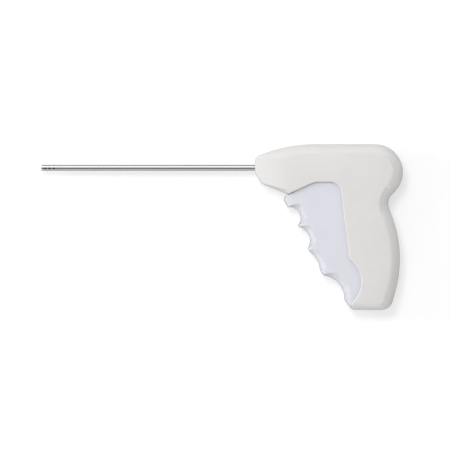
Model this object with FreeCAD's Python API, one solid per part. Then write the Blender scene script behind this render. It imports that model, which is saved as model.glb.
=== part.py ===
import FreeCAD, Part

import math
import os

# Laparoscopic hernia tacker with a pistol grip, lying on its side as it rests on a table.
# All sizes are in millimetres. +X runs from the tube's mouth to the back of the handle,
# +Y from the grip's foot to the barrel, +Z up out of the table, across the handle's thickness.
# The origin is on the tube's axis, where the tube leaves the nose of the housing.

# Tube, its liner and the tacks
TUBE_RADIUS = 2.55
TUBE_TAIL_RADIUS = 2.75
TUBE_STEP_X = 0.0
TUBE_BORE_RADIUS = 2.17
TUBE_REACH = 181.5
TUBE_TAIL_X = 33.0
MOUTH_NOTCHES = 4
MOUTH_NOTCH_WIDTH = 1.1
MOUTH_NOTCH_DEPTH = 0.9
WINDOW_ROWS = 3
WINDOWS_IN_A_ROW = 4
TUBE_WINDOW_RADIUS = 0.9
TUBE_WINDOW_TURN = 14.0
WINDOW_SIDES = 12
FIRST_ROW_SETBACK = 3.4
ROW_PITCH = 3.6
LINER_BORE_RADIUS = 1.6
LINER_SETBACK = 13.0
LINER_PAST_TACKS = 0.4
TACK_COUNT = 15
TACK_PITCH = 6.5
TACK_LENGTH = 6.1
TACK_RADIUS = 1.4
TACK_SIDES = 8
TACK_NOSE_RADIUS = 1.15
TACK_NOSE_LENGTH = 1.4
TACK_SETBACK = 1.5

# Drive rod and what it runs in
ROD_RADIUS = 1.5
BLADE_RADIUS = 1.0
BLADE_HALF_WIDTH = 0.62
BLADE_GAP = 0.1
BLADE_SETBACK = 1.0
BLADE_PAST_TACKS = 1.9
ROD_TAIL_X = 69.0
RUNNING_GAP = 0.05
COLLAR_FROM_X = 24.0
COLLAR_TO_X = 42.0
COLLAR_RADIUS = 4.6
COLLAR_FLANGE_RADIUS = 6.2
COLLAR_FLANGE_LENGTH = 3.0
SEAL_WIRE_RADIUS = 0.85
SEAL_X = 36.0
SEAL_SIDES = 6
BUSHING_FROM_X = 49.0
BUSHING_TO_X = 59.5
BUSHING_RADIUS = 3.2
BUSHING_FLANGE_RADIUS = 4.5
BUSHING_FLANGE_LENGTH = 1.5
ROD_WASHER_THICKNESS = 1.0

# Housing outline, seen from the side
HALF_THICKNESS = 16.0
SIDE_WALL = 2.2
WALL = 2.6
EDGE_BAND = 9.0
SEAM_WIDTH = 0.5
SEAM_DEPTH = 0.3
BOTTOM_BAND = 4.5
UNDERSIDE_BAND = 2.4
NOSE_FRONT_BAND = 2.4
NOSE_BLOCK = 9.0
NOSE_HALF_THICKNESS = 8.7
NOSE_TAPER = 21.0
NOSE_TAPER_ROUND = 40.0
NOSE_FRONT_Y = -4.2
NOSE_TOP_ROUND = 4.5
CHIN = (6.0, -13.5)
BARREL_TOP = 19.7
ARCH_RADIUS = 120.0
ARCH_FROM_X = 3.0
ARCH_TO_X = 50.0
REAR_CENTRE = (101.5, -3.9)
REAR_RADIUS = BARREL_TOP - REAR_CENTRE[1]
WAIST_RADIUS = 12.0
BACK_CENTRE = (20.0, -77.4)
BACK_RADIUS = 102.6
BACK_END_ANGLE = -16.0
GRIP_BOTTOM = -120.5
FOOT_ROUND = 9.6
BLANK_FRONT_CORNER = (66.5, -120.5)
BLANK_FRONT_TOP = (26.7, -22.0)
BAND_STEPS = 4
HOLLOW_BAND_STEPS = 1
HOUSING_BAND_ARC = 52.0
TRIGGER_BAND_ARC = 90.0

# Trigger window through the housing's side walls
WINDOW_LINE_FROM = (26.9, -23.1)
WINDOW_LINE_TO = (48.9, -13.2)
WINDOW_TOP = -12.6
WINDOW_CREST_ROUND = 10.0
WINDOW_SHOULDER_ROUND = 8.8
WINDOW_SIDE_TOP = (72.6, -23.4)
WINDOW_KNEE = (79.2, -77.5)
WINDOW_KNEE_ROUND = 2.5
HEEL_CENTRE = (66.3, -96.7)
HEEL_RADIUS = 22.9
TOE_ANGLE = -49.5
TOE_INSET = 0.05
TOE_ROUND = 4.0
HEEL_TURN = 12.0
WINDOW_EDGE_ROUND = 1.5
EDGE_STEPS = 2

# Trigger
PIVOT = (90.5, -110.2)
TRIGGER_HALF_WIDTH = 12.5
TRIGGER_INNER_HALF = 10.0
TRIGGER_TOP_ABOVE_TEETH = 2.2
TRIGGER_ROOF_BELOW_TEETH = 4.0
HORN_STRAIGHT_ANGLE = 31.5
TRIGGER_REAR_ANGLE = 7.5
TRIGGER_BAND = 7.0
TRIGGER_TOP_BAND = 1.0
TRIGGER_FOOT_BAND = 2.6
HORN_LIP = (24.4, -27.3)
RIDGES = ((37.4, -50.2), (45.9, -70.6), (56.0, -88.6))
TRIGGER_TOE = (79.9, -117.3)
HORN_TIP_ROUND = 4.0
GROOVE_CENTRES = ((29.3, -42.8), (34.9, -62.0), (36.6, -87.3), (56.5, -111.0))
GROOVE_RADII = (9.4, 11.8, 18.6, 19.6)
GROOVE_FLARE_RADIUS = 14.0
GROOVE_SIDES = 20
HUB_RADIUS = 5.5
HUB_INNER_HALF = 4.6
PIVOT_PIN_RADIUS = 2.0
PIN_END = 15.0

# Gears
MODULE = 1.0
SECTOR_TEETH_IN_FULL = 210
PINION_TEETH = 12
SECTOR_TEETH = 15
SECTOR_HALF_WIDTH = 2.0
SECTOR_STRIP = 8.0
SECTOR_LUG_WALL = 4.0
SECTOR_PIN_DEPTH = 13.0
SECTOR_PIN_ANGLES = (24.0, 14.0)
SECTOR_PIN_RADIUS = 1.5
SECTOR_PIN_END = 11.2
PINION_HALF_WIDTH = 2.6
BEVEL_MODULE = 0.7
BEVEL_TEETH = 36
ROD_BEVEL_TEETH = 12
BEVEL_FACE = 3.5
BEVEL_BACK = 7.5
PRESSURE_ANGLE = 25.0
FLANK_STEPS = 2
BEVEL_FLANK_STEPS = 1
SPUR_BACKLASH = 0.2
BEVEL_BACKLASH = 0.16
AXLE_RADIUS = 1.5
GEAR_STACK_END = 11.0
AXLE_WASHER_THICKNESS = 0.5
GEAR_HUB_RADIUS = 3.3
RATCHET_TEETH = 8
RATCHET_RADIUS = 5.5
RATCHET_HEIGHT = 0.8

# Springs
RETURN_WIRE_RADIUS = 0.6
RETURN_COIL_RADIUS = 4.2
RETURN_COIL_HALF = 3.6
RETURN_TURNS = 5
COIL_STEPS_PER_TURN = 10
WIRE_SIDES = 5
FIXED_LEG_LENGTH = 29.0
MOVING_LEG_LENGTH = 22.0
MOVING_LEG_HEADING = 140.0
CLUTCH_WIRE_RADIUS = 0.35
CLUTCH_COIL_RADIUS = 2.5
CLUTCH_TURNS = 5

# Locating posts between the two half shells
POSTS = ((43.0, 11.0), (112.5, 5.0), (109.0, -90.0))
POST_RADIUS = 3.0
POST_SIDES = 12
LOCATING_PIN_RADIUS = 1.4
LOCATING_PIN_LENGTH = 3.0

TACK_TAIL_X = -TUBE_REACH + TACK_SETBACK + (TACK_COUNT - 1) * TACK_PITCH + TACK_LENGTH
LINER_TAIL_X = TACK_TAIL_X + LINER_PAST_TACKS
BLADE_END_X = TACK_TAIL_X + BLADE_PAST_TACKS
SECTOR_RADIUS = MODULE * SECTOR_TEETH_IN_FULL / 2
SECTOR_PIN_REACH = SECTOR_RADIUS - SECTOR_PIN_DEPTH
TRIGGER_TOP_RADIUS = SECTOR_RADIUS + TRIGGER_TOP_ABOVE_TEETH
GEAR_CENTRE_DISTANCE = MODULE * (SECTOR_TEETH_IN_FULL + PINION_TEETH) / 2
AXLE_X = PIVOT[0] - math.sqrt(GEAR_CENTRE_DISTANCE ** 2 - PIVOT[1] ** 2)
SWEEP_CLEARANCE = 1.6
Z = FreeCAD.Vector(0, 0, 1)
X = FreeCAD.Vector(1, 0, 0)


def v(x, y, z=0.0):
    return FreeCAD.Vector(x, y, z)


def along_x(radius, x_from, x_to):
    """Cylinder on the tube's axis."""
    return Part.makeCylinder(radius, x_to - x_from, v(x_from, 0, 0), X)


def along_z(radius, x, y, z_from, z_to):
    """Cylinder across the handle."""
    return Part.makeCylinder(radius, z_to - z_from, v(x, y, z_from), Z)


def many_sided(radius, sides, start, way, across):
    """Prism of many sides that stands in for a small cylinder; it leaves start along way."""
    side = way.cross(across)
    side.normalize()
    rim = []
    for k in range(sides + 1):
        angle = 2 * math.pi * (k + 0.5) / sides
        rim.append(start + (across * math.cos(angle) + side * math.sin(angle)) * radius)
    return Part.Face(Part.makePolygon(rim)).extrude(way)


def box(x_from, x_to, y_from, y_to, z_from, z_to):
    return Part.makeBox(x_to - x_from, y_to - y_from, z_to - z_from, v(x_from, y_from, z_from))


def polar(centre, radius, degrees):
    """Point at a distance and a heading from a centre, in the plane of the side view."""
    angle = math.radians(degrees)
    return (centre[0] + radius * math.cos(angle), centre[1] + radius * math.sin(angle))


def tangent_corner(centre, radius, from_degrees, to_degrees):
    """Where the tangents to a circle at two headings cross, with the radius that rounds them."""
    half = math.radians(abs(to_degrees - from_degrees) / 2)
    x, y = polar(centre, radius / math.cos(half), (from_degrees + to_degrees) / 2)
    return (x, y, radius)


def crossing(point_a, heading_a, point_b, heading_b):
    """Where two lines cross, each given by a point and a direction."""
    cross = heading_a[0] * heading_b[1] - heading_a[1] * heading_b[0]
    gap_x = point_b[0] - point_a[0]
    gap_y = point_b[1] - point_a[1]
    along = (gap_x * heading_b[1] - gap_y * heading_b[0]) / cross
    return (point_a[0] + along * heading_a[0], point_a[1] + along * heading_a[1])


def circles_meet(centre_a, radius_a, centre_b, radius_b):
    """The right-hand one of the two points where two circles cross."""
    dx = centre_b[0] - centre_a[0]
    dy = centre_b[1] - centre_a[1]
    apart = math.hypot(dx, dy)
    along = (apart ** 2 + radius_a ** 2 - radius_b ** 2) / (2 * apart)
    across = math.sqrt(radius_a ** 2 - along ** 2)
    foot = (centre_a[0] + along * dx / apart, centre_a[1] + along * dy / apart)
    one = (foot[0] - across * dy / apart, foot[1] + across * dx / apart)
    other = (foot[0] + across * dy / apart, foot[1] - across * dx / apart)
    return max(one, other)


def heading_of(point, centre):
    return math.degrees(math.atan2(point[1] - centre[1], point[0] - centre[0]))


def band_profile(arc_degrees, count):
    """How far in and how far up each section of an edge band is, as shares of its size.

    The band is an arc that leaves the side wall upright. Under 90 degrees it meets the
    flat side at an angle, which leaves a crease there.
    """
    arc = math.radians(arc_degrees)
    flatness = math.sin(arc) / (1 - math.cos(arc))
    last_slope = math.atan2(flatness * math.sin(arc), math.cos(arc))
    steps = []
    for k in range(count + 1):
        slope = last_slope * k / count
        angle = math.atan2(math.sin(slope), flatness * math.cos(slope))
        inward = (1 - math.cos(angle)) / (1 - math.cos(arc))
        steps.append((inward, math.sin(angle) / math.sin(arc)))
    return steps


def rounded_wire(corners, z, insets=None):
    """Closed clockwise outline of straight sides and round corners at height z.

    Each corner is (x, y, radius). Side i leaves corner i, and moves inwards by insets[i];
    a round corner stays concentric, so that outward corners get sharper and inward ones wider.
    """
    count = len(corners)
    insets = insets or [0.0] * count
    headings = []
    bases = []
    for i in range(count):
        x0, y0 = corners[i][:2]
        x1, y1 = corners[(i + 1) % count][:2]
        length = math.hypot(x1 - x0, y1 - y0)
        heading = ((x1 - x0) / length, (y1 - y0) / length)
        headings.append(heading)
        bases.append((x0 + heading[1] * insets[i], y0 - heading[0] * insets[i]))
    starts = []
    middles = []
    ends = []
    for i in range(count):
        before = i - 1
        x, y = crossing(bases[before], headings[before], bases[i], headings[i])
        turn = math.atan2(
            headings[before][0] * headings[i][1] - headings[before][1] * headings[i][0],
            headings[before][0] * headings[i][0] + headings[before][1] * headings[i][1])
        inset = (insets[before] + insets[i]) / 2
        radius = corners[i][2] + inset * math.copysign(1, turn)
        radius = max(radius, min(0.4, corners[i][2]))
        reach = radius * math.tan(abs(turn) / 2)
        starts.append(v(x - headings[before][0] * reach, y - headings[before][1] * reach, z))
        ends.append(v(x + headings[i][0] * reach, y + headings[i][1] * reach, z))
        inward = v(headings[i][0] - headings[before][0], headings[i][1] - headings[before][1])
        inward.normalize()
        middles.append(v(x, y, z) + inward * (radius / math.cos(turn / 2) - radius))
    edges = []
    for i in range(count):
        edges.append(Part.Arc(starts[i], middles[i], ends[i]).toShape())
        following = starts[(i + 1) % count]
        if ends[i].distanceToPoint(following) > 1e-3:
            edges.append(Part.makeLine(ends[i], following))
    return Part.Wire(Part.__sortEdges__(edges))


def prism(wire, height):
    return Part.Face(wire).extrude(v(0, 0, height))


def revolved(points, axis_point, axis, plane):
    """Solid of revolution of a closed list of (radius, along) points, placed by a function."""
    wire = Part.makePolygon([plane(r, a) for r, a in points] + [plane(*points[0])])
    return Part.Face(wire).revolve(axis_point, axis, 360)


def turned_on_tube(points):
    """Piece turned about the tube's axis from (radius, x) points."""
    return revolved(points, v(0, 0, 0), X, lambda r, a: v(a, r, 0))


def turned_on_axle(points):
    """Piece turned about the gear axle from (radius, z) points."""
    return revolved(points, v(AXLE_X, 0, 0), Z, lambda r, a: v(AXLE_X + r, 0, a))


def one_solid(shape):
    return shape.Solids[0] if len(shape.Solids) == 1 else shape


# Housing

def housing_corners():
    """Corners of the handle's outline, clockwise from the lower end of the nose's front."""
    arch_centre = (ARCH_TO_X, BARREL_TOP - ARCH_RADIUS)
    arch_angle = 90 + math.degrees(math.asin((ARCH_TO_X - ARCH_FROM_X) / ARCH_RADIUS))
    arch_start = polar(arch_centre, ARCH_RADIUS, arch_angle)
    slope = math.radians(arch_angle - 90)
    nose_top = arch_start[1] - arch_start[0] * math.tan(slope)
    waist = circles_meet(REAR_CENTRE, REAR_RADIUS + WAIST_RADIUS,
                         BACK_CENTRE, BACK_RADIUS + WAIST_RADIUS)
    rear_end = heading_of(waist, REAR_CENTRE)
    back_start = heading_of(waist, BACK_CENTRE)
    back_end = polar(BACK_CENTRE, BACK_RADIUS, BACK_END_ANGLE)
    back_heading = polar((0, 0), 1, BACK_END_ANGLE - 90)
    foot = crossing(back_end, back_heading, (0, GRIP_BOTTOM), (1, 0))
    mid_rear = (90 + rear_end) / 2
    return [
        (0, NOSE_FRONT_Y, 6.0),
        (0, nose_top, NOSE_TOP_ROUND),
        tangent_corner(arch_centre, ARCH_RADIUS, arch_angle, 90),
        tangent_corner(REAR_CENTRE, REAR_RADIUS, 90, mid_rear),
        tangent_corner(REAR_CENTRE, REAR_RADIUS, mid_rear, rear_end),
        tangent_corner(waist, WAIST_RADIUS, rear_end + 180, back_start + 180),
        tangent_corner(BACK_CENTRE, BACK_RADIUS, back_start, BACK_END_ANGLE),
        (foot[0], foot[1], FOOT_ROUND),
        (BLANK_FRONT_CORNER[0], BLANK_FRONT_CORNER[1], 12.0),
        (BLANK_FRONT_TOP[0], BLANK_FRONT_TOP[1], 5.0),
        (CHIN[0], CHIN[1], 3.0),
    ]


def housing_half(wall, side_wall, z_from, steps):
    """Upper half of the handle's body, or of its hollow when walls are given."""
    corners = housing_corners()
    bands = ([NOSE_FRONT_BAND] + [EDGE_BAND] * 6
             + [BOTTOM_BAND, UNDERSIDE_BAND, UNDERSIDE_BAND, UNDERSIDE_BAND])
    straight = HALF_THICKNESS - EDGE_BAND
    height = EDGE_BAND - side_wall
    wires = []
    for inward, upward in band_profile(HOUSING_BAND_ARC, steps):
        insets = [wall + inward * max(0.0, band - wall) for band in bands]
        wires.append(rounded_wire(corners, straight + height * upward, insets))
    base = prism(rounded_wire(corners, z_from, [wall] * 11), straight - z_from)
    body = base.fuse(Part.makeLoft(wires, True, True)).cut(nose_taper_tool(side_wall))
    return body.common(box(-10, 140, -130, 30, -5, HALF_THICKNESS - side_wall))


def nose_taper_tool(sink):
    """What is cut off the nose's side so that the handle gets narrower towards the tube."""
    rise = math.tan(math.radians(NOSE_TAPER))
    top = HALF_THICKNESS - sink
    low = NOSE_HALF_THICKNESS - sink
    corner_x = (top - low) / rise
    reach = NOSE_TAPER_ROUND * math.tan(math.radians(NOSE_TAPER / 2))
    slope = math.radians(NOSE_TAPER)
    start = v(corner_x - reach * math.cos(slope), -60, top - reach * math.sin(slope))
    end = v(corner_x + reach, -60, top)
    half = math.radians(NOSE_TAPER / 2)
    lift = NOSE_TAPER_ROUND / math.cos(half) - NOSE_TAPER_ROUND
    middle = v(corner_x + lift * math.sin(half), -60, top - lift * math.cos(half))
    first = v(-5, -60, low - 5 * rise)
    edges = [
        Part.makeLine(first, start),
        Part.Arc(start, middle, end).toShape(),
        Part.makeLine(end, v(end.x, -60, HALF_THICKNESS + 5)),
        Part.makeLine(v(end.x, -60, HALF_THICKNESS + 5), v(-5, -60, HALF_THICKNESS + 5)),
        Part.makeLine(v(-5, -60, HALF_THICKNESS + 5), first),
    ]
    return Part.Face(Part.Wire(edges)).extrude(v(0, 90, 0))


def window_corners():
    """Corners of the trigger window, clockwise from its open front under the nose."""
    rise = (WINDOW_LINE_TO[1] - WINDOW_LINE_FROM[1]) / (WINDOW_LINE_TO[0] - WINDOW_LINE_FROM[0])
    first = (WINDOW_LINE_FROM[0] - 9, WINDOW_LINE_FROM[1] - 9 * rise)
    crest = (WINDOW_LINE_TO[0] + (WINDOW_TOP - WINDOW_LINE_TO[1]) / rise, WINDOW_TOP)
    side = (WINDOW_KNEE[0] - WINDOW_SIDE_TOP[0], WINDOW_KNEE[1] - WINDOW_SIDE_TOP[1])
    shoulder = crossing((0, WINDOW_TOP), (1, 0), WINDOW_SIDE_TOP, side)
    heel_start = heading_of(WINDOW_KNEE, HEEL_CENTRE) - HEEL_TURN
    heel_way = polar((0, 0), 1, heel_start + 90)
    knee = crossing(WINDOW_KNEE, side, polar(HEEL_CENTRE, HEEL_RADIUS, heel_start), heel_way)
    toe = polar(HEEL_CENTRE, HEEL_RADIUS, TOE_ANGLE)
    toe_way = polar((0, 0), 1, TOE_ANGLE + 90)
    heel_end = crossing(toe, toe_way, (toe[0] - TOE_INSET, 0), (0, 1))
    return [
        (first[0], first[1], 1.0),
        (crest[0], crest[1], WINDOW_CREST_ROUND),
        (shoulder[0], shoulder[1], WINDOW_SHOULDER_ROUND),
        (knee[0], knee[1], WINDOW_KNEE_ROUND),
        tangent_corner(HEEL_CENTRE, HEEL_RADIUS, heel_start, TOE_ANGLE),
        (heel_end[0], heel_end[1], 1.0),
        (heel_end[0], GRIP_BOTTOM, TOE_ROUND),
        (heel_end[0] + 8, GRIP_BOTTOM - 1.4, 1.0),
        (heel_end[0] + 8, GRIP_BOTTOM - 10, 1.0),
        (first[0], GRIP_BOTTOM - 10, 1.0),
    ]


def window_tool():
    """Everything in front of the window's edge, flared in steps where the edge is rounded."""
    corners = window_corners()
    low = HALF_THICKNESS - WINDOW_EDGE_ROUND
    tool = prism(rounded_wire(corners, -30.0), 30.0 + low)
    wires = []
    for k in range(EDGE_STEPS + 1):
        angle = math.radians(90.0 * k / EDGE_STEPS)
        flare = WINDOW_EDGE_ROUND * (1 - math.cos(angle))
        insets = [-flare] * 6 + [0.0] * 4
        wires.append(rounded_wire(corners, low + WINDOW_EDGE_ROUND * math.sin(angle), insets))
    return tool.fuse(Part.makeLoft(wires, True, True))


def half_shell(seam_width):
    """Upper half shell: walls, window, ribs, pin bosses and locating posts."""
    outer = housing_half(0.0, 0.0, seam_width, BAND_STEPS)
    if seam_width:
        rim = rounded_wire(housing_corners(), 0.0, [SEAM_DEPTH] * 11)
        outer = outer.fuse(prism(rim, seam_width + 0.5))
    hollow = housing_half(WALL, SIDE_WALL, -1.0, HOLLOW_BAND_STEPS)
    hollow = hollow.cut(box(-5, NOSE_BLOCK, -40, 40, -5, 20))
    window = window_tool()
    shell = outer.cut(hollow).cut(window)
    inner_face = HALF_THICKNESS - SIDE_WALL
    swept = along_z(TRIGGER_TOP_RADIUS + SWEEP_CLEARANCE, PIVOT[0], PIVOT[1], -5, 30)
    horn_room = box(-5, 60, -60, 30, -5, TRIGGER_HALF_WIDTH + 0.9)
    shell = shell.cut(swept.common(horn_room))
    ribs = []
    for x_from, x_to in ((27, 29.5), (38, 40.5), (50, 52), (56, 58)):
        ribs.append(box(x_from, x_to, -25, 25, 0, HALF_THICKNESS).common(hollow).cut(swept))
    bosses = []
    for x, y in POSTS:
        post = many_sided(POST_RADIUS, POST_SIDES, v(x, y, 0), Z * (inner_face + 0.5), X)
        bosses.append(post.common(outer))
    gear_stop = GEAR_STACK_END + AXLE_WASHER_THICKNESS
    pivot_stop = TRIGGER_HALF_WIDTH + 0.4
    bosses.append(many_sided(GEAR_HUB_RADIUS, POST_SIDES, v(AXLE_X, 0, gear_stop),
                             Z * (inner_face + 0.5 - gear_stop), X))
    bosses.append(many_sided(4.2, POST_SIDES, v(PIVOT[0], PIVOT[1], pivot_stop),
                             Z * (inner_face + 0.5 - pivot_stop), X))
    shell = shell.fuse(ribs + bosses)
    holes = [
        along_x(TUBE_RADIUS, -5, TUBE_STEP_X),
        along_x(TUBE_TAIL_RADIUS, TUBE_STEP_X, 25),
        along_x(COLLAR_RADIUS, COLLAR_FROM_X, COLLAR_TO_X),
        along_x(BUSHING_RADIUS, 45, 62),
        along_z(AXLE_RADIUS, AXLE_X, 0, 5, PIN_END),
        along_z(PIVOT_PIN_RADIUS, PIVOT[0], PIVOT[1], 5, PIN_END),
    ]
    return one_solid(shell.cut(holes).removeSplitter())


def both_shells():
    """The two half shells, the left one with locating pins and the right one with sockets."""
    left = half_shell(SEAM_WIDTH)
    right = half_shell(0.0).mirror(v(0, 0, 0), Z)
    pins = []
    sockets = []
    for x, y in POSTS:
        pins.append(along_z(LOCATING_PIN_RADIUS, x, y, -LOCATING_PIN_LENGTH, 1))
        sockets.append(along_z(LOCATING_PIN_RADIUS, x, y, -LOCATING_PIN_LENGTH, 0))
    return one_solid(left.fuse(pins)), one_solid(right.cut(sockets))


# Tube, liner, tacks and rod

def radial_windows():
    """Round windows in rows round the tube's end, the rows turned a little about the tube."""
    tools = []
    step = 360.0 / WINDOWS_IN_A_ROW
    for row in range(WINDOW_ROWS):
        x = -TUBE_REACH + FIRST_ROW_SETBACK + row * ROW_PITCH
        for k in range(WINDOWS_IN_A_ROW):
            angle = math.radians(k * step + TUBE_WINDOW_TURN)
            out = v(0, math.cos(angle), math.sin(angle)) * (TUBE_RADIUS + 1)
            tools.append(many_sided(TUBE_WINDOW_RADIUS, WINDOW_SIDES, v(x, 0, 0), out, X))
    return tools


def mouth_notches():
    tools = []
    for k in range(MOUTH_NOTCHES):
        notch = box(-TUBE_REACH - 1, -TUBE_REACH + MOUTH_NOTCH_DEPTH,
                    0, TUBE_RADIUS + 1, -MOUTH_NOTCH_WIDTH / 2, MOUTH_NOTCH_WIDTH / 2)
        notch.rotate(v(0, 0, 0), X, 45 + k * 360.0 / MOUTH_NOTCHES)
        tools.append(notch)
    return tools


def outer_tube():
    wall = along_x(TUBE_RADIUS, -TUBE_REACH, TUBE_STEP_X)
    wall = wall.fuse(along_x(TUBE_TAIL_RADIUS, TUBE_STEP_X, TUBE_TAIL_X))
    wall = wall.removeSplitter().cut(along_x(TUBE_BORE_RADIUS, -TUBE_REACH - 1, TUBE_TAIL_X + 1))
    return wall.cut(radial_windows() + mouth_notches())


def guide_liner():
    """Guide that the tacks run in, seated in the tube's bore."""
    mouth = -TUBE_REACH + LINER_SETBACK
    liner = along_x(TUBE_BORE_RADIUS, mouth, LINER_TAIL_X)
    liner = liner.cut(along_x(LINER_BORE_RADIUS, mouth - 1, LINER_TAIL_X + 1))
    return liner


def blade(x_from, x_to):
    """Flat-sided end of the rod, which the tacks are threaded on."""
    flat = box(x_from, x_to, -BLADE_HALF_WIDTH, BLADE_HALF_WIDTH, -5, 5)
    return along_x(BLADE_RADIUS, x_from, x_to).common(flat)


def tack_bore(x_from, x_to):
    """Six-sided hole that clears the rod's flat end all round."""
    half = BLADE_HALF_WIDTH + BLADE_GAP
    side = math.sqrt(BLADE_RADIUS ** 2 - BLADE_HALF_WIDTH ** 2) + BLADE_GAP / 2
    crest = BLADE_RADIUS + BLADE_GAP
    corners = [(half, side), (0, crest), (-half, side), (-half, -side), (0, -crest), (half, -side)]
    points = [v(x_from, y, z) for y, z in corners]
    return Part.Face(Part.makePolygon(points + [points[0]])).extrude(v(x_to - x_from, 0, 0))


def tack_train():
    """Tacks one behind the other, each turned and bored to fit the rod's flat end."""
    tacks = []
    for k in range(TACK_COUNT):
        x = -TUBE_REACH + TACK_SETBACK + k * TACK_PITCH
        stations = (
            (x, TACK_NOSE_RADIUS),
            (x + TACK_NOSE_LENGTH, TACK_RADIUS),
            (x + TACK_LENGTH, TACK_RADIUS),
        )
        rings = []
        for along, radius in stations:
            ring = []
            for side in range(TACK_SIDES + 1):
                angle = 2 * math.pi * side / TACK_SIDES
                ring.append(v(along, radius * math.cos(angle), radius * math.sin(angle)))
            rings.append(Part.makePolygon(ring))
        tack = Part.makeLoft(rings, True, True)
        tacks.append(tack.cut(tack_bore(x - 1, x + TACK_LENGTH + 1)))
    return Part.makeCompound([one_solid(tack) for tack in tacks])


def drive_rod():
    shaft = along_x(ROD_RADIUS, BLADE_END_X, ROD_TAIL_X)
    tip = blade(-TUBE_REACH + BLADE_SETBACK, BLADE_END_X + 1)
    return shaft.fuse(tip).removeSplitter()


def tube_collar():
    """Hub moulded on the tube's tail, held between the shells' ribs, with the seal's pocket."""
    seat = SEAL_WIRE_RADIUS / math.cos(math.pi / SEAL_SIDES) + 0.02
    pocket = ROD_RADIUS + RUNNING_GAP + 2 * SEAL_WIRE_RADIUS
    bore = ROD_RADIUS + 0.2
    flange_end = COLLAR_FROM_X + COLLAR_FLANGE_LENGTH
    return turned_on_tube([
        (TUBE_TAIL_RADIUS, COLLAR_FROM_X), (COLLAR_FLANGE_RADIUS, COLLAR_FROM_X),
        (COLLAR_FLANGE_RADIUS, flange_end), (COLLAR_RADIUS, flange_end),
        (COLLAR_RADIUS, COLLAR_TO_X), (bore, COLLAR_TO_X), (bore, SEAL_X + seat),
        (pocket, SEAL_X + seat), (pocket, SEAL_X - seat), (bore, SEAL_X - seat),
        (bore, TUBE_TAIL_X), (TUBE_TAIL_RADIUS, TUBE_TAIL_X)])


def rod_seal():
    """Ring with flattened rims, as a seal has when it sits in its pocket."""
    centre_radius = ROD_RADIUS + RUNNING_GAP + SEAL_WIRE_RADIUS
    section = []
    for k in range(SEAL_SIDES):
        angle = 2 * math.pi * (k + 0.5) / SEAL_SIDES
        reach = SEAL_WIRE_RADIUS / math.cos(math.pi / SEAL_SIDES)
        section.append((centre_radius + reach * math.cos(angle), SEAL_X + reach * math.sin(angle)))
    return turned_on_tube(section)


def rear_bushing():
    bore = ROD_RADIUS + RUNNING_GAP
    flange = BUSHING_TO_X - BUSHING_FLANGE_LENGTH
    return turned_on_tube([
        (bore, BUSHING_FROM_X), (BUSHING_RADIUS, BUSHING_FROM_X), (BUSHING_RADIUS, flange),
        (BUSHING_FLANGE_RADIUS, flange), (BUSHING_FLANGE_RADIUS, BUSHING_TO_X),
        (bore, BUSHING_TO_X)])


def rod_washer():
    start = BUSHING_TO_X + 0.1
    end = start + ROD_WASHER_THICKNESS
    return turned_on_tube([
        (ROD_RADIUS + RUNNING_GAP, start), (3.4, start), (3.4, end),
        (ROD_RADIUS + RUNNING_GAP, end)])


# Gears

def half_tooth_angles(pitch_radius, radii, module, backlash):
    """Half the angle that an involute tooth spans at each radius, in radians."""
    pressure = math.radians(PRESSURE_ANGLE)
    base = pitch_radius * math.cos(pressure)
    at_pitch = (math.pi * module / 2 - backlash / 2) / (2 * pitch_radius)
    at_pitch += math.tan(pressure) - pressure
    angles = []
    for radius in radii:
        local = math.acos(min(1.0, base / max(radius, base)))
        angles.append(at_pitch - (math.tan(local) - local))
    return angles


def tooth_radii(pitch_radius, module, flank_steps):
    root = pitch_radius - 1.25 * module
    tip = pitch_radius + module
    base = pitch_radius * math.cos(math.radians(PRESSURE_ANGLE))
    low = max(root + 0.05 * module, base)
    return [root] + [low + (tip - low) * k / flank_steps for k in range(flank_steps + 1)]


def tooth_points(centre, heading, pitch_radius, module, backlash):
    """Outline of one tooth in the plane, clockwise from its root."""
    radii = tooth_radii(pitch_radius, module, FLANK_STEPS)
    halves = half_tooth_angles(pitch_radius, radii, module, backlash)
    middle = math.radians(heading)
    points = []
    for radius, half in zip(radii, halves):
        points.append((radius, middle + half))
    for radius, half in zip(reversed(radii), reversed(halves)):
        points.append((radius, middle - half))
    return [v(centre[0] + r * math.cos(a), centre[1] + r * math.sin(a)) for r, a in points]


def mesh_heading():
    """Heading of the gear axle as seen from the trigger's pivot, in degrees."""
    return heading_of((AXLE_X, 0), PIVOT)


def sector_gear():
    """Toothed sector that the trigger carries under the pinion."""
    radius = SECTOR_RADIUS
    step = 360.0 / SECTOR_TEETH_IN_FULL
    middle = mesh_heading()
    points = []
    last = SECTOR_TEETH - 3
    for k in range(-2, last + 1):
        heading = middle + (last - 2 - k) * step
        points.extend(tooth_points(PIVOT, heading, radius, MODULE, SPUR_BACKLASH))
    right = middle - 2.5 * step
    left = middle + (last + 0.5) * step
    tip = radius - 1.25 * MODULE
    strip = radius + MODULE - SECTOR_STRIP
    lug = SECTOR_PIN_REACH - SECTOR_LUG_WALL
    lug_right = 90 + SECTOR_PIN_ANGLES[-1] - 3.5
    arc = []
    for turn in range(5):
        arc.append(polar(PIVOT, strip, right + (lug_right - right) * turn / 4))
    for turn in range(5):
        arc.append(polar(PIVOT, lug, lug_right + (left - lug_right) * turn / 4))
    outline = [v(*polar(PIVOT, tip, left))] + points + [v(*polar(PIVOT, tip, right))]
    outline += [v(x, y) for x, y in arc]
    face = Part.Face(Part.makePolygon(outline + [outline[0]]))
    face.translate(v(0, 0, -SECTOR_HALF_WIDTH))
    plate = face.extrude(v(0, 0, 2 * SECTOR_HALF_WIDTH))
    return plate.cut(sector_pin_cylinders(-5, 5))


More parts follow.
